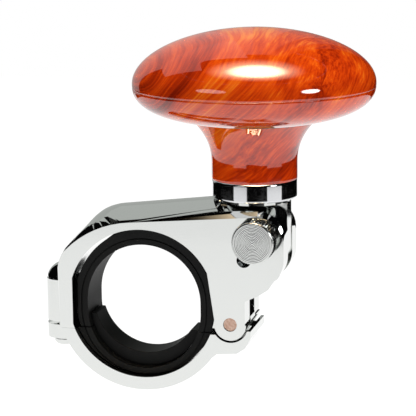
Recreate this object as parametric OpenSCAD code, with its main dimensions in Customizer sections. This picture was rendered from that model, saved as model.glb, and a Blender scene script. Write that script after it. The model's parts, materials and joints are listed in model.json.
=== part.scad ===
// Steering wheel spinner knob: a wide turned knob on a ball bearing, folding down on a
// knurled screw, carried by a hinged clamp with rubber liners that closes round the rim.
// X runs from the rim towards the knob, Y along the rim and away from the viewer, Z up.
// The origin is the axis of the rim at the middle of the clamp's width.

/* [Clamp] */
// Width of the clamp along the rim
clamp_w = 20; // [18:0.5:24]
// Radius of the metal bore that holds the rubber liners
bore_r = 22; // [21:0.25:23]
// Wall of the lower half ring
ring_wall = 3.75; // [3:0.25:5]
// Depth of the chamfer along the top edges
edge_chamfer = 1.6; // [0.8:0.1:2.2]
// Rise of the crowned top between its two chamfers
crown_rise = 3.65; // [2:0.05:4]
// Slope of the crowned top, in degrees
top_slope = 6.1; // [3:0.1:8]

/* [Knob] */
// Distance from the rim's axis to the axis of the knob
knob_x = 31.8; // [31:0.1:33]
// Largest radius of the knob
knob_r = 34.9; // [30:0.1:40]
// Height of the dome above the widest circle
dome_h = 15.5; // [12:0.1:18]
// Depth of the underside below the widest circle
under_h = 11.7; // [10:0.1:13]
// Height of the widest circle above the rim's axis
widest_z = 64.2; // [62:0.1:68]
// Radius of the neck where it meets the collar
neck_r = 12.4; // [12:0.1:14]
// Wall of the moulded cap
shell_wall = 2.4; // [1.8:0.1:3]

/* [Collar] */
// Radius of the polished collar
collar_r = 12.3; // [12:0.1:14]
// Height of the collar
collar_h = 5.4; // [4.5:0.1:6]
// Gap between the collar and the floor of its recess
collar_gap = 1.6; // [1:0.1:2.5]

/* [Fold] */
// Distance from the rim's axis to the fold axis, along X
fold_x = 34.6; // [34:0.1:36]
// Height of the fold axis
fold_z = 20.7; // [20:0.1:21.5]
// Width of the slot between the two cheeks
slot_w = 6.6; // [6:0.1:8]
// Radius of the knurled head
thumb_r = 6.2; // [5.5:0.1:7]
// Height of the knurled head
thumb_h = 7.7; // [5:0.1:9]
// Radius of the thumb screw's shank
thumb_shank_r = 2.5; // [2:0.1:3]
// Number of knurl teeth
knurl_count = 56; // [24:1:64]

/* [Hinge] */
// Radius of the hinge pin
pin_r = 2; // [1.6:0.1:2.4]
// Outer radius of the hinge eyes
eye_r = 4.7; // [4.2:0.1:5.2]
// Distance from the rim's axis to the hinge pin, along X
pin_x = 26.3; // [26:0.1:27]
// Height of the hinge pin, below the rim's axis
pin_z = -5.1; // [-6:0.1:-4.8]
// Height of the split between the two halves
split_z = -8.2; // [-9:0.1:-7.5]

/* [Rubber] */
// Width of the rubber liners
liner_w = 14.8; // [12:0.1:17]
// Inner radius of the liners
liner_r = 17; // [16.5:0.1:17.5]
// Thickness of the loose pad at its two ends
pad_t = 1.2; // [1:0.1:2.5]

/* [Screws] */
// Radius of the clamp screw's shank
screw_r = 2; // [1.5:0.1:2.5]
// Radius of the clamp screw's head
screw_head_r = 3.3; // [3:0.1:3.8]
// Radius of the screw bosses
boss_r = 5.1; // [4.6:0.1:5.4]
// Distance from the rim's axis to the clamp screw
screw_x = 26.4; // [26:0.1:27.5]

/* [Bearing] */
// Radius of the spindle's journal
spindle_r = 4; // [3.5:0.1:4.5]
// Outer radius of the ball bearing
bearing_r = 9.5; // [9:0.1:10]
// Height of the ball bearing
bearing_h = 6; // [5:0.1:7]
// Number of balls
ball_count = 9; // [7:1:10]

/* [Hidden] */
$fn = 72;
eps = 0.01;
// Running clearance round a shaft, sliding clearance at a flat, and the gap round an eye
run_gap = 0.06;
side_gap = 0.2;
eye_gap = 0.6;
// The crowned top and its recess under the collar
crown_half = clamp_w / 2 - edge_chamfer;
crown_r = (crown_half * crown_half + crown_rise * crown_rise) / (2 * crown_rise);
top_z0 = 28.65;
collar_z = 31;
floor_z = collar_z - collar_gap;
relief_z = 30.4;
cheek_x0 = 22.8;
neck_z = collar_z + collar_h;
// The outline of the upper half, as seen along the rim
leg_x = -25.7;
leg_flat_x = -20.9;
leg_in_x = 21.1;
leg_in_slope = 0.144;
bevel_c = 39.8;
shoulder_r = 14;
corner_r = 12;
leg_crown = 0.2;
bevel_crown = 1.2;
cheek_crown = 1.1;
cheek_corner = 7.5;
top_end = 22;
heel_x = 33.75;
heel_z = 14.5;
// The outline of its two flat faces, inside the chamfer
face_x = -24.9;
face_c = 37.9;
face_z0 = 24.15;
face_slope = 3.5;
face_corner_r = 6;
face_shoulder_r = 30;
face_cheek_z = 26.7;
// The slot, the block in it and its detent
slot_x = 23.4;
block_x0 = 27.3;
block_x1 = 41.9;
block_z0 = 11.8;
block_corner = 3;
seat_r = 9.4;
seat_h = 1.8;
detent_x = 30.5;
detent_z = 14;
detent_r = 2.1;
ball_r = 1.6;
ball_set = 0.3;
detent_wire = 0.2;
detent_coil = 1;
plug_t = 1.2;
ball_y = -slot_w / 2 + ball_set + ball_r;
knurl_d = 0.35;
thumb_washer_h = 0.8;
nut_pocket = 3.2;
pivot_nut_r = 4.6;
pivot_nut_h = 2.8;
// The stack on the spindle, from the block up
seat_z = floor_z + 0.4;
flange_z = seat_z + seat_h;
flange_r = 5.6;
flange_h = 1;
bearing_z = flange_z + flange_h;
bush_z = 44;
bush_h = 6;
bush_r = 6;
spindle_top = 56;
washer_h = 1;
nut_h = 4;
nut_r = 5.6;
stud_r = 3;
stud_z = fold_z + thumb_shank_r + 1.4;
ball_pitch = (bearing_r + spindle_r) / 2;
bearing_ball_r = 1.75;
race_lip = 1.5;
// The knob's profile
seam_z = widest_z - 1.2;
crease_z = 53.3;
flare_z = 41;
flare_rise = 5.3;
dome_power = 1.95;
under_power = 2.5;
flare_power = 2.3;
// The clamp screw and its bosses
boss_gap = 0.9;
boss_in = 1.5;
dome_z = 4.8;
boss_dome_h = 5.4;
boss_ledge = 0.15;
boss_low = -12.9;
screw_washer_h = 0.6;
screw_head_h = 2;
head_round = 1.6;
screw_top = split_z + 9;
screw_slack = 0.4;
// The rubber
rubber_gap = 0.2;
split_gap = 0.3;
leg_gap = 0.9;
liner_shift = 1;
groove_out = 1.6;
groove_w = 0.4;
groove_d = 0.5;
pad_drop = 3;
pad_inset = 2.6;
pad_end_z = -4.6;

// Points of an arc, counted from angle a0 to a1
function arc(c, r, a0, a1, n = 10) =
    [for (i = [0 : n]) let (a = a0 + (a1 - a0) * i / n) [c[0] + r * cos(a), c[1] + r * sin(a)]];

// Radius of a rounded form at a share t of its height
function round_r(r, t, power) = r * pow(1 - pow(t, power), 1 / power);

// A shape drawn in the X and Z of the clamp, given a width along the rim
module along_rim(w = clamp_w) {
    rotate([90, 0, 0]) linear_extrude(w, center = true) children();
}

// A rod along the rim at a place in X and Z
module rim_rod(x, z, r, w, y = 0) {
    translate([x, y, z]) rotate([90, 0, 0]) cylinder(r = r, h = w, center = true);
}

// Share of the crown's rise that is lost at a distance y from the middle of the width
function crown_loss(y) = (crown_r - sqrt(crown_r * crown_r - y * y)) / crown_rise;

// Centre of the arc of radius r between the shoulder, z = x + c, and a top that rises
// from height z0 at the rim's axis
function shoulder_centre(c, z0, slope, r) =
    let (x = ((z0 - c) * cos(slope) + r * (sqrt(2) * cos(slope) - 1)) / (cos(slope) - sin(slope)))
    [x, x + c - r * sqrt(2)];

// One slice of the upper half's outer form: a leg at x, a shoulder at 45 degrees with round
// ends of radii r1 and r2, a top, and a cheek with a round end
module shell_slice(y, x, c, z0, slope, cheek_z, r1, r2) {
    translate([0, y, 0]) along_rim(eps) polygon(concat(
        [[-15, split_z], [x, split_z]],
        arc([x + r1, x + c - r1 * (sqrt(2) - 1)], r1, 180, 135, 6),
        arc(shoulder_centre(c, z0, slope, r2), r2, 135, 90 + slope, 8),
        [[top_end, z0 + top_end * tan(slope)]],
        arc([fold_x, cheek_z - cheek_corner], cheek_corner, 90, 0, 8),
        [[fold_x + cheek_corner, heel_z]]
    ));
}

// The outer form of the upper half: crowned between its chamfers, the crown running out
// over the shoulder and the cheeks
module upper_shell() {
    face = clamp_w / 2 - eps / 2;
    hull() {
        for (i = [-6 : 6])
            let (y = crown_half * i / 6, k = crown_loss(abs(y)))
            shell_slice(
                y, leg_x + leg_crown * k, bevel_c - bevel_crown * k, top_z0 - crown_rise * k,
                top_slope, floor_z - cheek_crown * k, corner_r, shoulder_r
            );
        for (y = [-face, face])
            shell_slice(
                y, face_x, face_c, face_z0, face_slope, face_cheek_z, face_corner_r, face_shoulder_r
            );
    }
}

// Outline of the heel of the cheeks and the hinge eye under them
module heel_outline() {
    heel_r = fold_x + cheek_corner - heel_x;
    polygon(concat(
        [[20, pin_z - 1], [20, heel_z]],
        arc([heel_x, heel_z], heel_r, 0, -50, 8),
        [[37.6, 5.7], [34.7, 3.8], [30.7, 1.9], [30.7, pin_z]],
        arc([pin_x, pin_z], eye_r, 0, -165, 18)
    ));
}

// The space between the flat inner faces of the two legs, less a gap on each side
module between_legs(gap = 0) {
    low = -30;
    high = 30;
    polygon([
        [leg_flat_x + gap, low],
        [leg_flat_x + gap, high],
        [leg_in_x - leg_in_slope * high - gap, high],
        [leg_in_x - leg_in_slope * low - gap, low]
    ]);
}

// The bore of the upper half: round, with a flat on each leg
module upper_bore() {
    intersection() {
        circle(bore_r, $fn = 120);
        between_legs();
    }
}

// The boss for the clamp screw, from z0 to z1
module screw_boss(z0, z1) {
    translate([-screw_x, 0, z0]) cylinder(r = boss_r, h = z1 - z0);
    translate([-screw_x, -boss_r, z0]) cube([screw_x + leg_x + boss_in, boss_r * 2, z1 - z0]);
}

// The rounded top of the upper boss, running out into the leg
module boss_dome() {
    x = leg_x + boss_in;
    r = boss_r - boss_ledge;
    translate([x, 0, dome_z])
        scale([(x + screw_x + r) / r, 1, boss_dome_h / r])
        sphere(r = r, $fn = 48);
}

module upper_clamp() {
    color("silver")
    difference() {
        union() {
            difference() {
                union() {
                    upper_shell();
                    along_rim() heel_outline();
                    boss_dome();
                }
                along_rim(clamp_w + 2) upper_bore();
            }
            screw_boss(split_z + boss_gap / 2, dome_z);
        }
        // The slot between the cheeks, open to the right and down past the hinge
        translate([slot_x, -slot_w / 2, -20]) cube([40, slot_w, 60]);
        rim_rod(pin_x, pin_z, eye_r + eye_gap, slot_w);
        // The flat tops of the cheeks, the seat's recess and the relief under the collar
        translate([cheek_x0, -clamp_w / 2, floor_z]) cube([40, clamp_w, 10]);
        translate([knob_x, 0, floor_z]) cylinder(r = seat_r + 0.4, h = 10);
        translate([knob_x, 0, relief_z]) cylinder(r = collar_r + 1, h = 10);
        // The fold screw's hole, its nut pocket and the detent hole
        rim_rod(fold_x, fold_z, thumb_shank_r + run_gap, clamp_w + 2);
        translate([fold_x, clamp_w / 2 - nut_pocket, fold_z])
            rotate([-90, 0, 0]) cylinder(r = pivot_nut_r + 0.15, h = nut_pocket + 1, $fn = 6);
        rim_rod(detent_x, detent_z, detent_r, clamp_w, -clamp_w / 2);
        // The hinge pin's holes and the clamp screw's hole
        rim_rod(pin_x, pin_z, pin_r, clamp_w + 2);
        translate([-screw_x, 0, split_z - 1]) cylinder(r = screw_r + screw_slack, h = 12.5);
    }
}

// Outline of the lower half: a half ring and the bracket under the hinge
module lower_outline() {
    difference() {
        union() {
            intersection() {
                circle(bore_r + ring_wall, $fn = 120);
                translate([-40, -40]) square([80, 40 + split_z]);
            }
            polygon([
                [14, -20],
                [20.6, -15.4],
                [22.3, -14],
                [28.2, -13.6],
                [30.6, -12],
                [32.3, -9],
                [32.3, -6.8],
                [pin_x, -6.8],
                [pin_x - 5, -9.7],
                [14, -9.7]
            ]);
        }
        circle(bore_r, $fn = 120);
    }
}

module lower_clamp() {
    knuckle_w = slot_w - 2 * side_gap;
    color("silver")
    difference() {
        union() {
            difference() {
                along_rim() lower_outline();
                for (s = [-1, 1])
                    rim_rod(pin_x, pin_z, eye_r + eye_gap, clamp_w, s * (clamp_w + knuckle_w) / 2);
            }
            rim_rod(pin_x, pin_z, eye_r, knuckle_w);
            difference() {
                screw_boss(boss_low, split_z - boss_gap / 2);
                rotate([90, 0, 0]) cylinder(r = bore_r, h = clamp_w, center = true, $fn = 120);
            }
        }
        rim_rod(pin_x, pin_z, pin_r + run_gap, clamp_w);
        translate([-screw_x, 0, boss_low - 1]) cylinder(r = screw_r + run_gap, h = 8);
    }
}

module hinge_pin() {
    color("peru") rim_rod(pin_x, pin_z, pin_r, clamp_w - 0.8);
}

module clamp_screw() {
    head_z = boss_low - screw_washer_h - screw_head_h;
    color("silver")
    translate([-screw_x, 0, 0]) difference() {
        union() {
            translate([0, 0, head_z]) rotate_extrude() polygon(concat(
                [[0, screw_head_h], [screw_head_r, screw_head_h]],
                arc([screw_head_r - head_round, head_round], head_round, 0, -90, 8),
                [[0, 0]]
            ));
            translate([0, 0, head_z]) cylinder(r = screw_r, h = screw_top - head_z);
        }
        translate([0, 0, head_z - eps]) cylinder(r = 1.45, h = 1.6, $fn = 6);
    }
}

module screw_washer() {
    color("silver")
    translate([-screw_x, 0, boss_low - screw_washer_h]) difference() {
        cylinder(r = screw_head_r + 0.2, h = screw_washer_h);
        translate([0, 0, -1]) cylinder(r = screw_r + run_gap, h = 3);
    }
}

// The inside of the liners, a U that leaves room for the pad at the bottom
module liner_inside(gap = 0) {
    for (z = [0, -pad_drop]) translate([0, z]) circle(liner_r + gap, $fn = 120);
    translate([-liner_r - gap, -pad_drop]) square([2 * (liner_r + gap), pad_drop]);
}

// A liner with a groove in both faces, cut off at the split by its children
module liner_ring() {
    difference() {
        along_rim(liner_w) difference() {
            circle(bore_r - rubber_gap, $fn = 120);
            liner_inside();
        }
        for (s = [-1, 1])
            translate([0, s * liner_w / 2, 0])
                along_rim(groove_d * 2) difference() {
                    liner_inside(groove_out + groove_w);
                    liner_inside(groove_out);
                }
    }
}

module upper_liner() {
    color("#222422")
    difference() {
        intersection() {
            liner_ring();
            translate([liner_shift, 0, 0]) along_rim() circle(bore_r - rubber_gap, $fn = 120);
            union() {
                along_rim() between_legs(leg_gap);
                along_rim(liner_w / 2) between_legs(rubber_gap);
            }
        }
        translate([-50, -50, split_z - 50]) cube([100, 100, 50]);
        rim_rod(pin_x, pin_z, eye_r + eye_gap + rubber_gap, clamp_w);
    }
}

module lower_liner() {
    color("#222422")
    difference() {
        liner_ring();
        translate([-50, -50, split_z - split_gap]) cube([100, 100, 50]);
        rim_rod(pin_x, pin_z, eye_r + eye_gap + rubber_gap, clamp_w);
    }
}

// A crescent that fills the U, so that the hole is round for a thinner rim. Its free end
// stands above the split, and the end by the hinge stops below it to let the clamp open
module rim_pad() {
    color("#1a1c1a")
    along_rim(liner_w - 2 * pad_inset) difference() {
        liner_inside(-rubber_gap);
        circle(liner_r - pad_t, $fn = 120);
        translate([-50, pad_end_z]) square([50, 50]);
        translate([0, split_z - split_gap]) square([50, 50]);
    }
}

module pivot_block() {
    thick = slot_w - 2 * side_gap;
    color("silver")
    difference() {
        union() {
            along_rim(thick) polygon(concat(
                [[block_x0, seat_z + eps]],
                arc([block_x0 + block_corner, block_z0 + block_corner], block_corner, 180, 270, 8),
                arc([block_x1 - 4.5, block_z0 + 4.5], 4.5, 270, 360, 8),
                [[block_x1, seat_z + eps]]
            ));
            translate([knob_x, 0, seat_z]) cylinder(r = seat_r, h = seat_h);
        }
        rim_rod(fold_x, fold_z, thumb_shank_r + run_gap, clamp_w);
        translate([knob_x, 0, stud_z - 1]) cylinder(r = stud_r, h = 20);
        rim_rod(detent_x, detent_z, ball_r + run_gap, clamp_w);
    }
}

module detent_ball() {
    color("silver") translate([detent_x, ball_y, detent_z]) sphere(r = ball_r, $fn = 32);
}

// A coil spring wound along Z from z0 to z1, its ends a wire's radius inside
module coil_spring(z0, z1, coil, wire, turns, sides = 6, steps = 14) {
    rings = turns * steps;
    points = [
        for (i = [0 : rings], j = [0 : sides - 1])
            let (
                a = 360 * i / steps,
                b = 360 * j / sides,
                r = coil + wire * cos(b),
                z = z0 + wire + (z1 - z0 - 2 * wire) * i / rings
            )
            [r * cos(a), r * sin(a), z + wire * sin(b)]
    ];
    walls = [
        for (i = [0 : rings - 1], j = [0 : sides - 1])
            let (k = (j + 1) % sides)
            [i * sides + j, i * sides + k, (i + 1) * sides + k, (i + 1) * sides + j]
    ];
    ends = [
        [for (j = [0 : sides - 1]) sides - 1 - j],
        [for (j = [0 : sides - 1]) rings * sides + j]
    ];
    polyhedron(points, concat(walls, ends));
}

// The spring between the ball and its plug
module detent_spring() {
    start = ball_y + sqrt(pow(ball_r + detent_wire, 2) - pow(detent_coil, 2)) - detent_wire + 0.05;
    end = slot_w / 2 - side_gap - plug_t - 0.02;
    color("dimgray")
    translate([detent_x, 0, detent_z])
        rotate([-90, 0, 0]) coil_spring(start, end, detent_coil, detent_wire, 3);
}

module detent_plug() {
    color("dimgray")
    translate([detent_x, slot_w / 2 - side_gap - plug_t, detent_z])
        rotate([-90, 0, 0]) cylinder(r = ball_r + run_gap, h = plug_t);
}

// The section of the knurl: a ring of pointed teeth
module knurl_section() {
    polygon([
        for (i = [0 : 2 * knurl_count - 1])
            let (a = 180 * i / knurl_count, r = thumb_r - (i % 2) * knurl_d)
            [r * cos(a), r * sin(a)]
    ]);
}

module thumb_screw() {
    head_h = thumb_h - thumb_washer_h;
    core_r = thumb_r - 0.6;
    rim = 0.5;
    neck_h = 1.7;
    color("lightgray")
    translate([fold_x, -clamp_w / 2 - thumb_h, fold_z]) rotate([-90, 0, 0]) {
        translate([0, 0, rim]) linear_extrude(head_h - neck_h - rim) knurl_section();
        rotate_extrude() polygon([
            [0, 0],
            [core_r - rim, 0],
            [core_r, rim],
            [core_r, head_h],
            [0, head_h]
        ]);
        translate([0, 0, rim]) cylinder(r = thumb_shank_r, h = clamp_w + thumb_h - 1 - rim);
    }
}

module thumb_washer() {
    color("silver")
    translate([fold_x, -clamp_w / 2 - thumb_washer_h, fold_z]) rotate([-90, 0, 0]) difference() {
        cylinder(r = thumb_r - 0.6, h = thumb_washer_h);
        translate([0, 0, -1]) cylinder(r = thumb_shank_r + run_gap, h = 4);
    }
}

module pivot_nut() {
    color("silver")
    translate([fold_x, clamp_w / 2 - nut_pocket, fold_z]) rotate([-90, 0, 0]) difference() {
        cylinder(r = pivot_nut_r, h = pivot_nut_h, $fn = 6);
        translate([0, 0, -1]) cylinder(r = thumb_shank_r + run_gap, h = 6);
    }
}

module spindle() {
    color("gainsboro")
    translate([knob_x, 0, 0]) {
        translate([0, 0, stud_z]) cylinder(r = stud_r, h = flange_z - stud_z + eps);
        translate([0, 0, flange_z]) cylinder(r = flange_r, h = flange_h);
        translate([0, 0, bearing_z]) cylinder(r = spindle_r, h = bush_z + bush_h + 0.2 - bearing_z);
        translate([0, 0, bearing_z]) cylinder(r = stud_r, h = spindle_top - bearing_z);
    }
}

// A plain turned ring on the knob's axis
module knob_ring(r_in, r_out, z, h) {
    translate([knob_x, 0, z]) difference() {
        cylinder(r = r_out, h = h);
        translate([0, 0, -1]) cylinder(r = r_in, h = h + 2);
    }
}

// A race of the bearing, with its ball groove
module race(r_in, r_out) {
    difference() {
        knob_ring(r_in, r_out, bearing_z, bearing_h);
        translate([knob_x, 0, bearing_z + bearing_h / 2])
            rotate_extrude()
            translate([ball_pitch, 0]) circle(bearing_ball_r + run_gap, $fn = 32);
    }
}

module bearing_outer_race() {
    color("lightsteelblue") race(bearing_r - race_lip, bearing_r);
}

module bearing_inner_race() {
    color("lightsteelblue") race(spindle_r, spindle_r + race_lip);
}

module bearing_balls() {
    color("white")
    for (i = [0 : ball_count - 1])
        translate([knob_x, 0, bearing_z + bearing_h / 2])
            rotate([0, 0, 360 * i / ball_count])
            translate([ball_pitch, 0, 0]) sphere(r = bearing_ball_r, $fn = 24);
}

module bearing_cage() {
    wall = 0.5;
    color("khaki")
    difference() {
        knob_ring(ball_pitch - wall / 2, ball_pitch + wall / 2, bearing_z + 0.7, bearing_h - 1.4);
        for (i = [0 : ball_count - 1])
            translate([knob_x, 0, bearing_z + bearing_h / 2])
                rotate([0, 0, 360 * i / ball_count])
                translate([ball_pitch, 0, 0]) cube(2 * (bearing_ball_r + run_gap), center = true);
    }
}

module upper_bush() {
    color("tan") knob_ring(spindle_r + run_gap, bush_r, bush_z, bush_h);
}

module spindle_washer() {
    color("gainsboro") knob_ring(stud_r, 7, bush_z + bush_h + 0.2, washer_h);
}

module spindle_nut() {
    color("gainsboro")
    translate([knob_x, 0, bush_z + bush_h + 0.2 + washer_h]) difference() {
        cylinder(r = nut_r, h = nut_h, $fn = 6);
        translate([0, 0, -1]) cylinder(r = stud_r, h = nut_h + 2);
    }
}

module collar() {
    bevel = 0.6;
    spigot = neck_r - 1.8;
    color("dimgray")
    translate([knob_x, 0, 0]) rotate_extrude($fn = 120) polygon([
        [spigot, collar_z],
        [collar_r - bevel, collar_z],
        [collar_r, collar_z + bevel],
        [collar_r, neck_z - bevel],
        [collar_r - bevel, neck_z],
        [spigot, neck_z]
    ]);
}

// Outer profile of the knob, from the crease up to the widest circle
function under_points(shrink = 0, n = 14) = [
    for (i = [0 : n])
        let (t = 1 - i / n, top = (widest_z - crease_z) * t)
        [round_r(knob_r - shrink, top / under_h, under_power), widest_z - top]
];

// Outer profile of the neck, from the collar up to the crease
function neck_points(n = 12) = [
    for (i = [0 : n])
        let (z = neck_z + (crease_z - neck_z) * i / n, t = max(0, (z - flare_z) / (crease_z - flare_z)))
        [neck_r + flare_rise * pow(t, flare_power), z]
];

// Outer profile of the dome, from height z0 above the widest circle to the top
function dome_points(r, h, z0, n = 20) = [
    for (i = [0 : n])
        let (a = 90 * i / n, z = z0 + (h - z0) * sin(a))
        [i == n ? 0 : round_r(r, z / h, dome_power), widest_z + z]
];

module knob_body() {
    wall = shell_wall;
    spigot = neck_r - 1.8;
    skin = [for (p = under_points(0)) if (p[1] < seam_z) p];
    color("#c23a0c")
    difference() {
        translate([knob_x, 0, 0]) rotate_extrude($fn = 120) polygon(concat(
            [[0, bearing_z], [spigot, bearing_z], [spigot, neck_z]],
            neck_points(),
            skin,
            [[round_r(knob_r, (widest_z - seam_z) / under_h, under_power), seam_z], [0, seam_z]]
        ));
        // The hollow of the shell above the hub
        translate([knob_x, 0, 0]) rotate_extrude($fn = 96) polygon(concat(
            [[bush_r + 2.6, bush_z + bush_h + 6], [bush_r + 2.6, crease_z + wall]],
            [for (p = under_points(wall, 10)) if (p[1] > crease_z + wall && p[1] < seam_z - 0.4) p],
            [[knob_r - wall * 1.5, seam_z + 1], [bush_r + 2.6, seam_z + 1]]
        ));
        // Seats of the bearing and the bush, and the well of the nut
        translate([knob_x, 0, bearing_z - 1]) cylinder(r = bearing_r, h = bearing_h + 1);
        translate([knob_x, 0, bearing_z]) cylinder(r = spindle_r + 1.6, h = 30);
        translate([knob_x, 0, bush_z]) cylinder(r = bush_r, h = 30);
        translate([knob_x, 0, bush_z + bush_h]) cylinder(r = bush_r + 1.6, h = 30);
    }
}

module knob_cap() {
    z0 = seam_z - widest_z;
    lip_r = knob_r - shell_wall * 1.6;
    color("#d0480f")
    translate([knob_x, 0, 0]) rotate_extrude($fn = 120) difference() {
        polygon(concat(
            [[0, seam_z], [round_r(knob_r, -z0 / under_h, under_power), seam_z]],
            dome_points(knob_r, dome_h, 0)
        ));
        polygon(concat(
            [[0, seam_z - 1], [lip_r, seam_z - 1]],
            dome_points(lip_r, dome_h - shell_wall, 0)
        ));
    }
}

knob_cap();
knob_body();
collar();
bearing_outer_race();
bearing_inner_race();
bearing_balls();
bearing_cage();
upper_bush();
spindle();
spindle_washer();
spindle_nut();
pivot_block();
detent_ball();
detent_spring();
detent_plug();
thumb_screw();
thumb_washer();
pivot_nut();
upper_clamp();
lower_clamp();
hinge_pin();
clamp_screw();
screw_washer();
upper_liner();
lower_liner();
rim_pad();
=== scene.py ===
"""Looks of a steering wheel spinner knob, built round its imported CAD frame.

The knob is turned to look like burl wood under clear lacquer, the clamp is plated, the
liners are moulded rubber. Everything is in metres in the frame of the CAD: X from the
rim towards the knob, Y along the rim away from the viewer, Z up the knob's axis.
"""

import json
import math

import bmesh
import bpy
from mathutils import Matrix, Quaternion, Vector


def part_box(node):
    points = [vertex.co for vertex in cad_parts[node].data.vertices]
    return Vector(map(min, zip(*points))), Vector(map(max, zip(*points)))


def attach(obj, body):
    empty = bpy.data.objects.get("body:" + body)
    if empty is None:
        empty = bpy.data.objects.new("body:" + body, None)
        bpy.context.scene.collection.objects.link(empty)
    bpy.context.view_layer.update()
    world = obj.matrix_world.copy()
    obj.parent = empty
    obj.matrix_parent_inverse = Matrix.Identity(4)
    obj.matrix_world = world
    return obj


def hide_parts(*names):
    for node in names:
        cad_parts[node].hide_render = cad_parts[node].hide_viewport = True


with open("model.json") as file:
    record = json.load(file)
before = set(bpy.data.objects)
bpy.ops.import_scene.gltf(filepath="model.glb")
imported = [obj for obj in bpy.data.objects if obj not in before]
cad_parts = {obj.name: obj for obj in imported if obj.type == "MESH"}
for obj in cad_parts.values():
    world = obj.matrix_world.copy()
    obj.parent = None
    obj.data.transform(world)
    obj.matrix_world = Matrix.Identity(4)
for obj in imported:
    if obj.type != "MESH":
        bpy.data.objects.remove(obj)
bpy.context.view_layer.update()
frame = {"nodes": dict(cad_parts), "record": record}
NODES = frame["nodes"]
MM = 0.001

# Where things are, read off the frame
cap_low, cap_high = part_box("knob_cap")
body_low, body_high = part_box("knob_body")
collar_low, collar_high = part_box("collar")
head_low, head_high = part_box("thumb_screw")
pin_low, pin_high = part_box("hinge_pin")
screw_low, screw_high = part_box("clamp_screw")
clamp_low, clamp_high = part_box("lower_clamp")

KNOB_X = (cap_low[0] + cap_high[0]) / 2
KNOB_R = (cap_high[0] - cap_low[0]) / 2
KNOB_TOP = cap_high[2]
SEAM_Z = cap_low[2]
WIDEST_Z = SEAM_Z + 1.2 * MM
NECK_Z = collar_high[2]
COLLAR_R = (collar_high[0] - collar_low[0]) / 2


def linear(hex_colour):
    """An sRGB hex colour as linear RGBA."""
    parts = [int(hex_colour[i : i + 2], 16) / 255 for i in (1, 3, 5)]
    return [c / 12.92 if c <= 0.04045 else ((c + 0.055) / 1.055) ** 2.4 for c in parts] + [1.0]


def add(tree, kind, inputs=None, stops=(), **settings):
    """Adds one shader node. An input is a value or the output that feeds it, and stops are
    a ramp's positions and hex colours."""
    node = tree.nodes.new(kind)
    for name, value in settings.items():
        setattr(node, name, value)
    for socket, value in (inputs or {}).items():
        if isinstance(value, bpy.types.NodeSocket):
            tree.links.new(value, node.inputs[socket])
        else:
            node.inputs[socket].default_value = value
    if stops:
        elements = node.color_ramp.elements
        while len(elements) < len(stops):
            elements.new(0.5)
        for element, (position, colour) in zip(elements, stops):
            element.position = position
            element.color = linear(colour)
    return node


def new_material(name, **surface):
    """A material with a Principled surface, returned with its tree and that surface."""
    material = bpy.data.materials.new(name)
    material.use_nodes = True
    tree = material.node_tree
    tree.nodes.clear()
    shader = add(tree, "ShaderNodeBsdfPrincipled")
    for socket, value in surface.items():
        shader.inputs[socket.replace("_", " ")].default_value = value
    add(tree, "ShaderNodeOutputMaterial", {"Surface": shader.outputs[0]})
    return material, tree, shader


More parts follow.
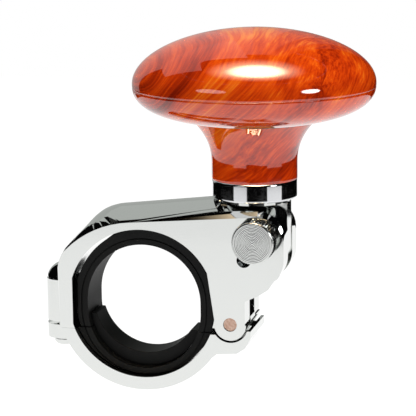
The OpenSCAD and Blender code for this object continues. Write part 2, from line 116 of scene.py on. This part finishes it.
def lacquered_burl():
    """Printed burl on a moulded ABS knob, under thick clear lacquer: long red and orange
    streaks that swirl round one knot, and a wet, sharp gloss on top."""
    material, tree, shader = new_material(
        "lacquered_burl", Roughness=0.5, Specular_IOR_Level=0.0, Coat_Weight=1.0,
        Coat_Roughness=0.035, Coat_IOR=1.8,
    )
    knot = Vector((55.3, -24.9, 67.0)) * MM
    looking = Vector((0.62, -0.66, 0.42))
    lean = Quaternion((0, 0, 1), math.radians(-42))
    turn = (lean @ looking.to_track_quat("Z", "Y").inverted()).to_euler()
    place = add(tree, "ShaderNodeTexCoord").outputs["Object"]
    centred = add(tree, "ShaderNodeVectorMath", {0: place, 1: knot}, operation="SUBTRACT")
    # Millimetres round the knot, its axis along Z and the run of the grain along X
    facing = add(
        tree, "ShaderNodeMapping",
        {"Vector": centred.outputs[0], "Rotation": turn, "Scale": (1 / MM, 1 / MM, 1 / MM)},
    ).outputs[0]
    # The grain wanders by about 4 mm over 30 mm, as it does round a burl
    sway = add(tree, "ShaderNodeTexNoise", {"Vector": facing, "Scale": 1 / 30, "Detail": 2.0})
    swing = add(
        tree, "ShaderNodeVectorMath", {0: sway.outputs["Color"], 1: (0.5, 0.5, 0.5)}, operation="SUBTRACT"
    )
    pushed = add(tree, "ShaderNodeVectorMath", {0: swing.outputs[0], "Scale": 7.0}, operation="SCALE")
    warped = add(tree, "ShaderNodeVectorMath", {0: facing, 1: pushed.outputs[0]}, operation="ADD")
    flat = add(tree, "ShaderNodeVectorMath", {0: warped.outputs[0], 1: (0.38, 1, 0)}, operation="MULTIPLY")
    across = add(tree, "ShaderNodeVectorMath", {0: flat.outputs[0]}, operation="LENGTH").outputs["Value"]
    outward = add(tree, "ShaderNodeVectorMath", {0: flat.outputs[0]}, operation="NORMALIZE").outputs[0]

    def streaks(width, runs, detail, rough):
        """Grain that circles the knot: width in millimetres, and how often it breaks off
        on its way round."""
        out = add(tree, "ShaderNodeMath", {0: across, 1: 1 / width}, operation="MULTIPLY").outputs[0]
        depth = add(tree, "ShaderNodeCombineXYZ", {"Z": out}).outputs[0]
        round_it = add(
            tree, "ShaderNodeVectorMath", {0: outward, 1: (runs, runs, 0), 2: depth}, operation="MULTIPLY_ADD"
        )
        return add(
            tree, "ShaderNodeTexNoise",
            {"Vector": round_it.outputs[0], "Scale": 1.0, "Detail": detail, "Roughness": rough},
        ).outputs["Fac"]

    fibres = streaks(0.55, 5.0, 3.0, 0.6)
    bands = streaks(4.5, 1.6, 3.0, 0.55)
    cloud = add(tree, "ShaderNodeTexNoise", {"Vector": facing, "Scale": 1 / 34, "Detail": 1.0})
    fine = add(tree, "ShaderNodeMath", {0: fibres, 1: 0.34}, operation="MULTIPLY").outputs[0]
    broad = add(
        tree, "ShaderNodeMath", {0: bands, 1: 0.42, 2: fine}, operation="MULTIPLY_ADD"
    ).outputs[0]
    tone = add(
        tree, "ShaderNodeMath", {0: cloud.outputs["Fac"], 1: 0.24, 2: broad}, operation="MULTIPLY_ADD"
    ).outputs[0]
    # Painted light: the colour is paler towards the top of the dome and a little darker low down, as light from above
    # falls, and the wood is darkest close round the knot
    height = add(tree, "ShaderNodeSeparateXYZ", {0: place}).outputs["Z"]
    painted_top_light = add(
        tree, "ShaderNodeMapRange",
        {"Value": height, "From Min": SEAM_Z, "From Max": KNOB_TOP, "To Min": -0.02, "To Max": 0.06},
    ).outputs[0]
    darker = add(
        tree, "ShaderNodeMapRange",
        {"Value": across, "From Min": 1.0, "From Max": 9.0, "To Min": -0.06, "To Max": 0.0},
    ).outputs[0]
    lifted = add(tree, "ShaderNodeMath", {0: tone, 1: painted_top_light}, operation="ADD").outputs[0]
    shade = add(tree, "ShaderNodeMath", {0: lifted, 1: darker}, operation="ADD").outputs[0]
    colour = add(
        tree, "ShaderNodeValToRGB", {0: shade},
        [(0.36, "#7A1804"), (0.44, "#A82A05"), (0.5, "#C53A07"), (0.56, "#D84C0A"), (0.66, "#EC7A1C")],
    )
    tree.links.new(colour.outputs[0], shader.inputs["Base Color"])
    return material


def bright_plate(name, tint, roughness, wave):
    """Bright nickel-chrome plating on a polished casting: a mirror with a very slight
    unevenness, as polishing leaves on a cast face."""
    material, tree, shader = new_material(name, Metallic=1.0)
    place = add(tree, "ShaderNodeTexCoord").outputs["Object"]
    # Polishing waves about 6 mm long
    polish = add(tree, "ShaderNodeTexNoise", {"Vector": place, "Scale": 1 / (6 * MM), "Detail": 2.0})
    haze = add(
        tree, "ShaderNodeMapRange",
        {"Value": polish.outputs["Fac"], "To Min": roughness * 0.7, "To Max": roughness * 1.4},
    )
    bump = add(
        tree, "ShaderNodeBump", {"Height": polish.outputs["Fac"], "Strength": wave, "Distance": 0.4 * MM}
    )
    shader.inputs["Base Color"].default_value = linear(tint)
    tree.links.new(haze.outputs[0], shader.inputs["Roughness"])
    tree.links.new(bump.outputs[0], shader.inputs["Normal"])
    return material


def turned_steel():
    """Plated steel faced in a lathe: fine concentric tool marks round the screw's axis."""
    material, tree, shader = new_material("turned_steel", Metallic=1.0, Roughness=0.24)
    centre = Vector(((head_low[0] + head_high[0]) / 2, 0, (head_low[2] + head_high[2]) / 2))
    place = add(tree, "ShaderNodeTexCoord").outputs["Object"]
    centred = add(tree, "ShaderNodeVectorMath", {0: place, 1: centre}, operation="SUBTRACT")
    flat = add(
        tree, "ShaderNodeVectorMath", {0: centred.outputs[0], 1: (1 / MM, 0, 1 / MM)}, operation="MULTIPLY"
    )
    radius = add(tree, "ShaderNodeVectorMath", {0: flat.outputs[0]}, operation="LENGTH").outputs["Value"]
    # Tool marks about 0.35 mm apart, drawn a little coarse so that they show
    marks = add(
        tree, "ShaderNodeTexNoise", {"W": radius, "Scale": 2.9, "Detail": 2.0, "Roughness": 0.7},
        noise_dimensions="1D",
    ).outputs["Fac"]
    colour = add(
        tree, "ShaderNodeValToRGB", {0: marks}, [(0.3, "#CDD0CD"), (0.52, "#E6E8E6"), (0.7, "#F8F9F8")]
    )
    bump = add(tree, "ShaderNodeBump", {"Height": marks, "Strength": 0.35, "Distance": 0.08 * MM})
    tree.links.new(colour.outputs[0], shader.inputs["Base Color"])
    tree.links.new(bump.outputs[0], shader.inputs["Normal"])
    return material


def moulded_rubber():
    """Black nitrile rubber from a spark-eroded mould: almost no sheen, fine grain."""
    material, tree, shader = new_material("moulded_rubber", Roughness=0.6, IOR=1.35)
    place = add(tree, "ShaderNodeTexCoord").outputs["Object"]
    grain = add(tree, "ShaderNodeTexNoise", {"Vector": place, "Scale": 1 / (0.6 * MM), "Detail": 4.0})
    patches = add(tree, "ShaderNodeTexNoise", {"Vector": place, "Scale": 1 / (7 * MM), "Detail": 2.0})
    colour = add(
        tree, "ShaderNodeValToRGB", {0: patches.outputs["Fac"]}, [(0.35, "#040504"), (0.65, "#0A0B0A")]
    )
    bump = add(
        tree, "ShaderNodeBump", {"Height": grain.outputs["Fac"], "Strength": 0.25, "Distance": 0.05 * MM}
    )
    tree.links.new(colour.outputs[0], shader.inputs["Base Color"])
    tree.links.new(bump.outputs[0], shader.inputs["Normal"])
    return material


def machined_metal(name, dark, light, roughness, metallic=1.0):
    """A plain machined or moulded inner piece: a fine, even grain from its making."""
    material, tree, shader = new_material(name, Metallic=metallic, Roughness=roughness)
    place = add(tree, "ShaderNodeTexCoord").outputs["Object"]
    grain = add(tree, "ShaderNodeTexNoise", {"Vector": place, "Scale": 1 / (0.8 * MM), "Detail": 3.0})
    colour = add(tree, "ShaderNodeValToRGB", {0: grain.outputs["Fac"]}, [(0.35, dark), (0.65, light)])
    tree.links.new(colour.outputs[0], shader.inputs["Base Color"])
    return material


BURL = lacquered_burl()
PLATE = bright_plate("bright_plate", "#DDDFDD", 0.07, 0.02)
MIRROR = bright_plate("mirror_chrome", "#DADBDD", 0.07, 0.004)
TURNED = turned_steel()
RUBBER = moulded_rubber()
COPPER_WASH = machined_metal("copper_washed_steel", "#C29A86", "#DDBFAE", 0.3)
BEARING_STEEL = machined_metal("bearing_steel", "#AEB1B5", "#C9CCCF", 0.18)
ZINC_STEEL = machined_metal("zinc_plated_steel", "#9EA09C", "#BDBEB8", 0.32)
SPRING_STEEL = machined_metal("oiled_spring_steel", "#4A4B4C", "#6B6C6D", 0.35)
BRONZE = machined_metal("sintered_bronze", "#9C7440", "#BE9459", 0.5)
NYLON = machined_metal("moulded_nylon", "#B7A878", "#CFC296", 0.55, 0.0)

FINISH = {
    "knob_cap": BURL, "knob_body": BURL, "collar": MIRROR,
    "bearing_outer_race": BEARING_STEEL, "bearing_inner_race": BEARING_STEEL,
    "bearing_balls": BEARING_STEEL, "bearing_cage": NYLON, "upper_bush": BRONZE,
    "spindle": ZINC_STEEL, "spindle_washer": ZINC_STEEL, "spindle_nut": ZINC_STEEL,
    "pivot_block": PLATE, "detent_ball": BEARING_STEEL, "detent_spring": SPRING_STEEL,
    "detent_plug": SPRING_STEEL, "thumb_screw": PLATE, "thumb_washer": PLATE,
    "pivot_nut": TURNED, "upper_clamp": PLATE, "lower_clamp": PLATE, "hinge_pin": COPPER_WASH,
    "clamp_screw": PLATE, "screw_washer": PLATE, "upper_liner": RUBBER, "lower_liner": RUBBER,
    "rim_pad": RUBBER,
}
BODY = {node: body for body, nodes in frame["record"]["behaviour"]["bodies"].items() for node in nodes}


def finish(piece, material):
    """Gives a piece one material."""
    piece.data.materials.clear()
    piece.data.materials.append(material)


for name, material in FINISH.items():
    finish(NODES[name], material)


def keep(name, bm, material, node, stands_for=True, smooth_angle=32):
    """Makes a piece from a bmesh, on the body of a CAD node that it may stand for."""
    mesh = bpy.data.meshes.new(name)
    bm.to_mesh(mesh)
    bm.free()
    mesh.shade_smooth()
    mesh.set_sharp_from_angle(angle=math.radians(smooth_angle))
    piece = bpy.data.objects.new(name, mesh)
    bpy.context.scene.collection.objects.link(piece)
    finish(piece, material)
    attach(piece, BODY[node])
    if stands_for:
        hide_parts(node)
    return piece


def softened(node, width, segments=2, sharp=28, reshape=None):
    """A copy of a CAD node with its sharp edges broken by a small round, as polishing
    and plating leave them."""
    bm = bmesh.new()
    bm.from_mesh(NODES[node].data)
    bmesh.ops.remove_doubles(bm, verts=bm.verts, dist=0.002 * MM)
    if reshape:
        reshape(bm)
    bmesh.ops.dissolve_limit(
        bm, angle_limit=math.radians(0.6), verts=bm.verts, edges=bm.edges, use_dissolve_boundaries=False
    )
    edges = [
        e for e in bm.edges
        if len(e.link_faces) == 2 and e.calc_face_angle() > math.radians(sharp)
    ]
    bmesh.ops.bevel(
        bm, geom=edges, offset=width, offset_type="OFFSET", affect="EDGES", segments=segments,
        profile=0.5, material=-1, clamp_overlap=True,
    )
    piece = keep(f"polished_{node}", bm, FINISH[node], node, smooth_angle=min(sharp, 28) + 4)
    weighted = piece.modifiers.new("even_shading", "WEIGHTED_NORMAL")
    weighted.keep_sharp = True
    return piece


def lathe(points, centre, steps, axis=(0, 0, 1)):
    """A solid of revolution from a closed loop of (radius, height) points about an
    axis through centre. Heights are counted along the axis from centre."""
    axis = Vector(axis)
    side = Vector((1, 0, 0))
    bm = bmesh.new()
    loop = [bm.verts.new(Vector(centre) + side * r + axis * h) for r, h in points]
    edges = [bm.edges.new((a, b)) for a, b in zip(loop, loop[1:] + loop[:1])]
    bmesh.ops.spin(
        bm, geom=loop + edges, cent=centre, axis=axis, angle=2 * math.pi, steps=steps, use_merge=True
    )
    bmesh.ops.remove_doubles(bm, verts=bm.verts, dist=0.001 * MM)
    bmesh.ops.recalc_face_normals(bm, faces=bm.faces)
    return bm


def swell(radius, share, power):
    """Radius of the knob's rounded form at a share of its height."""
    return radius * max(0.0, 1 - share**power) ** (1 / power)


def arc(centre, radius, start, end, count=6):
    """Points of an arc in (radius, height), angles in degrees."""
    angles = [math.radians(start + (end - start) * i / count) for i in range(count + 1)]
    return [(centre[0] + radius * math.cos(a), centre[1] + radius * math.sin(a)) for a in angles]


def clamp_outline(y):
    """The upper clamp's outer line, as (x, z) points in millimetres, in the slice at y. Its
    top is a rounded ridge with flat flanks that fall at 26 degrees."""
    ridge, ridge_half, flank, fall = 9.4, 4.12, math.radians(26), math.radians(6.1)
    if abs(y) < ridge_half:
        drop = ridge - math.sqrt(ridge**2 - y**2)
    else:
        drop = ridge * (1 - math.cos(flank)) + (abs(y) - ridge_half) * math.tan(flank)
    k = drop / 3.5
    leg, slant, top, cheek = -25.7 + 0.2 * k, 39.8 - 1.2 * k, 28.5 - drop, 29.4 - 1.1 * k
    cos, sin = math.cos(fall), math.sin(fall)
    x = ((top - slant) * cos + 14 * (math.sqrt(2) * cos - 1)) / (cos - sin)
    line = arc((leg + 12, leg + slant - 12 * (math.sqrt(2) - 1)), 12, 180, 135, 10)
    line += arc((x, x + slant - 14 * math.sqrt(2)), 14, 135, 90 + math.degrees(fall), 12)
    line.append((22, top + 22 * math.tan(fall)))
    line += arc((34.6, cheek - 7.5), 7.5, 90, 0, 16)
    line.append((42.1, 14.5))
    return line


def crisp_top(bm):
    """Gives the upper clamp's top flat flanks, with a narrow steep bevel down to its faces."""
    for y in (-9.35, -6.7, -4.12, 4.12, 6.7, 9.35):
        bmesh.ops.bisect_plane(
            bm, geom=bm.verts[:] + bm.edges[:] + bm.faces[:], dist=0.0005 * MM,
            plane_co=(0, y * MM, 0), plane_no=(0, 1, 0),
        )
    for vert in bm.verts:
        x, y, z = (c / MM for c in vert.co)
        on_top = abs(y) < 9.36 and x < 22.1
        on_cheek = 9.3 < abs(y) < 9.4 and x >= 22.1
        if z < 9.3 or not (on_top or on_cheek):
            continue
        line = [Vector((px, pz)) for px, pz in clamp_outline(y)]
        near = None
        for a, b in zip(line, line[1:]):
            share = (Vector((x, z)) - a).dot(b - a) / (b - a).length_squared
            point = a.lerp(b, min(max(share, 0.0), 1.0))
            away = (point - Vector((x, z))).length
            if near is None or away < near[0]:
                near = (away, point)
        if near[0] < 0.95:
            vert.co.x, vert.co.z = near[1].x * MM, near[1].y * MM


def turned_cap():
    """The domed cap, turned to one smooth curve, with a small round at its seam."""
    dome_h = KNOB_TOP - WIDEST_Z
    under_h = 11.7 * MM
    wall = 2.4 * MM
    seam_round = 0.18 * MM
    seam_r = swell(KNOB_R, (WIDEST_Z - SEAM_Z) / under_h, 2.5)
    outer = arc((seam_r - seam_round, SEAM_Z + seam_round), seam_round, -90, -10, 4)
    for i in range(4):
        drop = (WIDEST_Z - SEAM_Z) * (1 - (i + 1) / 4) * 0.75
        outer.append((swell(KNOB_R, drop / under_h, 2.5), WIDEST_Z - drop))
    count = 48
    for i in range(1, count + 1):
        rise = dome_h * math.sin(math.pi / 2 * i / count)
        outer.append((0.0 if i == count else swell(KNOB_R, rise / dome_h, 1.95), WIDEST_Z + rise))
    lip = KNOB_R - wall * 1.6
    inner = []
    for i in range(17):
        rise = (dome_h - wall) * math.cos(math.pi / 2 * i / 16)
        radius = 0.0 if i == 0 else swell(lip, rise / (dome_h - wall), 1.95)
        inner.append((radius, WIDEST_Z + rise))
    inner.append((lip, SEAM_Z))
    bm = lathe(outer + inner, (KNOB_X, 0, 0), 144)
    keep("turned_cap", bm, BURL, "knob_cap").visible_glossy = False


def turned_body():
    """The lower shell and its flared neck, with the seats that the CAD body has."""
    under_h = 11.7 * MM
    crease_z = 53.3 * MM
    flare_z = 41 * MM
    neck_r = 12.4 * MM
    rise = 5.3 * MM
    wall = 2.4 * MM
    seam_round = 0.18 * MM
    low = body_low[2]
    spigot = neck_r - 1.8 * MM
    outer = [(spigot, low), (spigot, NECK_Z)]
    outer += arc((neck_r - 0.3 * MM, NECK_Z + 0.3 * MM), 0.3 * MM, -90, 0, 4)
    count = 30
    for i in range(1, count + 1):
        z = NECK_Z + 0.3 * MM + (crease_z - NECK_Z - 0.3 * MM) * i / count
        t = max(0.0, (z - flare_z) / (crease_z - flare_z))
        outer.append((neck_r + rise * t**2.3, z))
    steps = 40
    seam_drop = WIDEST_Z - SEAM_Z
    for i in range(steps):
        # Closer steps near the flat underside
        drop = seam_drop + (WIDEST_Z - crease_z - seam_drop) * math.cos(math.pi / 2 * i / steps) ** 0.8
        outer.append((swell(KNOB_R, min(drop / under_h, 1.0), 2.5), WIDEST_Z - drop))
    seam_r = swell(KNOB_R, seam_drop / under_h, 2.5)
    outer += arc((seam_r - seam_round, SEAM_Z - seam_round), seam_round, 10, 90, 4)
    hub = 8.6 * MM
    bush_z = 44 * MM
    bush_top = 50 * MM
    inner = [
        (KNOB_R - wall * 1.5, SEAM_Z), (KNOB_R - wall * 1.7, SEAM_Z - 3 * MM),
        (26 * MM, crease_z + 3.4 * MM), (hub, crease_z + wall), (hub, bush_top + 6 * MM),
        (7.6 * MM, bush_top + 6 * MM), (7.6 * MM, bush_top), (6 * MM, bush_top), (6 * MM, bush_z),
        (5.6 * MM, bush_z), (5.6 * MM, 38.6 * MM), (9.5 * MM, 38.6 * MM), (9.5 * MM, low),
    ]
    bm = lathe(outer + inner, (KNOB_X, 0, 0), 144)
    keep("turned_body", bm, BURL, "knob_body", smooth_angle=40).visible_glossy = False


def polished_collar():
    """The collar, with its two edges turned round and a fine line under the neck."""
    low, high = collar_low[2], collar_high[2]
    spigot = 10.6 * MM
    edge = 0.55 * MM
    points = [(spigot, low), (COLLAR_R - edge, low)]
    points += arc((COLLAR_R - edge, low + edge), edge, -80, 0, 6)
    # Two narrow rows hold the straight wall's shading straight
    points += [(COLLAR_R, low + edge + 0.08 * MM), (COLLAR_R, high - edge - 0.08 * MM)]
    points += arc((COLLAR_R - edge, high - edge), edge, 0, 80, 6)
    points += [(COLLAR_R - edge, high), (spigot, high)]
    keep("polished_collar", lathe(points, (KNOB_X, 0, 0), 144), MIRROR, "collar")


def turned_face():
    """The faced end of the knurled head: shallow rings left by the tool and its pip."""
    centre = ((head_low[0] + head_high[0]) / 2, head_low[1], (head_low[2] + head_high[2]) / 2)
    radius = 5.8 * MM
    pitch = 0.42 * MM
    depth = 0.035 * MM
    rings = int(radius / pitch * 4)
    points = [(0.0, 0.06 * MM)]
    for i in range(1, rings):
        r = radius * i / rings
        points.append((r, depth * (0.5 + 0.5 * math.sin(2 * math.pi * r / pitch))))
    points += [(radius, 0.0), (radius + 0.12 * MM, -0.12 * MM), (radius + 0.12 * MM, -0.9 * MM), (0.0, -0.9 * MM)]
    bm = lathe([(r, -h) for r, h in points], centre, 96, (0, 1, 0))
    keep("turned_face", bm, TURNED, "thumb_screw", stands_for=False)


turned_cap()
turned_body()
polished_collar()
turned_face()
softened("upper_clamp", 0.12 * MM, sharp=18, reshape=crisp_top)
for node in ("lower_clamp", "pivot_block"):
    softened(node, 0.22 * MM)
for node in ("upper_liner", "lower_liner", "rim_pad"):
    softened(node, 0.18 * MM)
softened("thumb_screw", 0.04 * MM, segments=1)
for node in ("hinge_pin", "clamp_screw", "pivot_nut", "thumb_washer", "screw_washer"):
    softened(node, 0.15 * MM)


def flat_panel(name, size, place, turn=(0, 0, 0)):
    """A flat square-cornered panel of the studio."""
    bm = bmesh.new()
    bmesh.ops.create_grid(bm, x_segments=1, y_segments=1, size=0.5)
    bmesh.ops.scale(bm, vec=(size[0], size[1], 1), verts=bm.verts)
    mesh = bpy.data.meshes.new(name)
    bm.to_mesh(mesh)
    bm.free()
    panel = bpy.data.objects.new(name, mesh)
    panel.location = place
    panel.rotation_euler = turn
    bpy.context.scene.collection.objects.link(panel)
    return panel


def pale_floor():
    """A white table that ends a little way in front of the part, low enough for the clamp
    to open above it. It is white to the eye and in the polish, and keeps a faint shadow."""
    low = clamp_low[2] - 32 * MM
    floor = flat_panel("floor", (1.6, 1.3), (KNOB_X, 0.28, low))
    material, tree, shader = new_material("white_table", Roughness=0.7)
    shader.inputs["Base Color"].default_value = linear("#F4F4F4")
    white = add(tree, "ShaderNodeEmission", {"Color": (1, 1, 1, 1), "Strength": 1.12})
    share = add(tree, "ShaderNodeMath", {0: seen_directly(tree), 1: 0.8}, operation="MULTIPLY")
    both = add(
        tree, "ShaderNodeMixShader", {0: share.outputs[0], 1: shader.outputs[0], 2: white.outputs[0]}
    )
    tree.links.new(both.outputs[0], tree.nodes["Material Output"].inputs["Surface"])
    finish(floor, material)


def for_polish_only(card):
    """Leaves a card of the studio to be seen in the polish and nowhere else."""
    card.visible_camera = False
    card.visible_diffuse = False
    card.visible_transmission = False
    card.visible_volume_scatter = False
    card.visible_shadow = False


def studio_card(name, colour, points, sweep, centre):
    """A card that only the polish sees: a line of (across, height) points swept round the
    part's axis between two bearings, in degrees from the front towards the knob's side."""
    start, end = sweep
    bm = bmesh.new()
    face = math.radians(start)
    line = [
        bm.verts.new((centre + r * math.sin(face), -r * math.cos(face), z)) for r, z in points
    ]
    edges = [bm.edges.new(pair) for pair in zip(line, line[1:])]
    bmesh.ops.spin(
        bm, geom=line + edges, cent=(centre, 0, 0), axis=(0, 0, 1), angle=math.radians(end - start), steps=24
    )
    mesh = bpy.data.meshes.new(name)
    bm.to_mesh(mesh)
    bm.free()
    card = bpy.data.objects.new(name, mesh)
    bpy.context.scene.collection.objects.link(card)
    for_polish_only(card)
    material, tree, shader = new_material(f"{name}_card", Roughness=0.9)
    paper = add(tree, "ShaderNodeEmission", {"Color": linear(colour), "Strength": 1.0})
    tree.links.new(paper.outputs[0], tree.nodes["Material Output"].inputs["Surface"])
    finish(card, material)


def glow(name, size, place, colour, rings):
    """A lit card that only the polish sees, brightest in its middle. Each ring has its full
    and its fading radius, as shares of half the card, and its strength."""
    card = flat_panel(name, size, place)
    for_polish_only(card)
    material, tree, shader = new_material(name, Roughness=0.9)
    place = add(tree, "ShaderNodeTexCoord").outputs["Object"]
    flat = add(
        tree, "ShaderNodeVectorMath", {0: place, 1: (2 / size[0], 2 / size[1], 0)}, operation="MULTIPLY"
    )
    out = add(tree, "ShaderNodeVectorMath", {0: flat.outputs[0]}, operation="LENGTH").outputs["Value"]
    total = 0.0
    for full, faded, strength in rings:
        ring = add(
            tree, "ShaderNodeMapRange",
            {"Value": out, "From Min": full, "From Max": faded, "To Min": strength, "To Max": 0.0},
            interpolation_type="SMOOTHSTEP",
        )
        total = add(tree, "ShaderNodeMath", {0: ring.outputs[0], 1: total}, operation="ADD").outputs[0]
    lit = add(tree, "ShaderNodeEmission", {"Color": linear(colour), "Strength": total})
    tree.links.new(lit.outputs[0], tree.nodes["Material Output"].inputs["Surface"])
    finish(card, material)


def overhead_glow():
    """The big diffused lamp overhead: a bright oval with a wide warm fall-off."""
    glow(
        "overhead_glow", (0.5, 0.46), (KNOB_X + 0.02, -0.03, 0.5), "#FFE4BE",
        [(0.3, 0.62, 16.0), (0.1, 1.0, 9.0)],
    )


def softbox(name, place, target, size, power, in_polish=True):
    """An oval lamp that lights the part and may show in its polish, not in the view."""
    data = bpy.data.lights.new(name, "AREA")
    data.shape = "ELLIPSE"
    data.size, data.size_y = size
    data.energy = power
    lamp = bpy.data.objects.new(name, data)
    lamp.location = place
    aim = Vector(target) - Vector(place)
    lamp.rotation_euler = aim.to_track_quat("-Z", "Y").to_euler()
    lamp.visible_camera = False
    lamp.visible_glossy = in_polish
    bpy.context.scene.collection.objects.link(lamp)


def seen_directly(tree):
    """1 where the camera, a polish or a glass sees a surface, else 0."""
    path = add(tree, "ShaderNodeLightPath")
    plain = add(
        tree, "ShaderNodeMath", {0: path.outputs["Is Camera Ray"], 1: path.outputs["Is Glossy Ray"]},
        operation="MAXIMUM",
    )
    return add(
        tree, "ShaderNodeMath", {0: plain.outputs[0], 1: path.outputs["Is Transmission Ray"]},
        operation="MAXIMUM",
    ).outputs[0]


def studio_world():
    """White to the camera and in the polish, and an even fill light on everything."""
    world = bpy.data.worlds.new("studio")
    world.use_nodes = True
    bpy.context.scene.world = world
    tree = world.node_tree
    tree.nodes.clear()
    seen = add(tree, "ShaderNodeBackground", {"Color": (1, 1, 1, 1), "Strength": 1.0})
    fill = add(tree, "ShaderNodeBackground", {"Color": (1, 1, 1, 1), "Strength": 0.56})
    both = add(
        tree, "ShaderNodeMixShader", {0: seen_directly(tree), 1: fill.outputs[0], 2: seen.outputs[0]}
    )
    add(tree, "ShaderNodeOutputWorld", {"Surface": both.outputs[0]})


def photo_camera():
    """The camera at the photograph's angle, far off with a long lens."""
    data = bpy.data.cameras.new("camera")
    data.lens = 173.1
    data.sensor_width = 36
    data.clip_start = 0.01
    camera = bpy.data.objects.new("camera", data)
    yaw, pitch, roll = (math.radians(a) for a in (13.25, 10.95, -0.68))
    camera.matrix_world = (
        Matrix.Translation((0.14878, -0.55599, 0.13757))
        @ Matrix.Rotation(yaw, 4, "Z")
        @ Matrix.Rotation(math.pi / 2 - pitch, 4, "X")
        @ Matrix.Rotation(roll, 4, "Z")
    )
    bpy.context.scene.collection.objects.link(camera)
    bpy.context.scene.camera = camera


pale_floor()
studio_world()
photo_camera()
middle = (KNOB_X, 0, 0.05)
WALL = 0.42
ROOF = 0.55
# Black flags stand on the table and leave two bright gaps in front. Behind is a grey strip
for name, sweep in (("front_flag", (-9.5, 45)), ("right_flag", (88, 173)), ("left_flag", (-140, -46))):
    studio_card(name, "#050505", [(WALL, -0.2), (WALL, ROOF)], sweep, KNOB_X)
for name, sweep in (("left_gap_top", (-46, -9.5)), ("right_gap_top", (45, 88))):
    studio_card(name, "#050505", [(WALL, -0.0372), (WALL, ROOF)], sweep, KNOB_X)
studio_card("roof", "#050505", [(0.0, ROOF), (WALL, ROOF)], (-180, 180), KNOB_X)
for step, grey in enumerate(("#3A3C3A", "#5C5F5C", "#7A7D7A", "#929592", "#A5A8A5")):
    bearing = 172 + 5 * step
    studio_card(f"far_step_{step}", grey, [(0.38, -0.01), (0.38, 0.33), (0.28, 0.52)], (bearing, bearing + 5), KNOB_X)
studio_card("far_low_card", "#B4B7B4", [(0.38, -0.01), (0.38, 0.33)], (197, 240), KNOB_X)
studio_card("far_card", "#BFC2BF", [(0.38, 0.33), (0.28, 0.52), (0.08, 0.52)], (197, 262), KNOB_X)
overhead_glow()
softbox("overhead_box", (KNOB_X - 0.01, 0.03, 0.5), middle, (0.2, 0.14), 0.9, in_polish=False)
softbox("overhead_fill", (KNOB_X - 0.01, 0.06, 0.53), middle, (0.5, 0.4), 1.2, in_polish=False)
softbox("right_box", (KNOB_X + 0.33, -0.16, 0.15), middle, (0.12, 0.1), 0.4)
softbox("left_box", (KNOB_X - 0.18, -0.33, 0.2), middle, (0.2, 0.1), 0.1)

bpy.context.scene.view_settings.view_transform = "Standard"
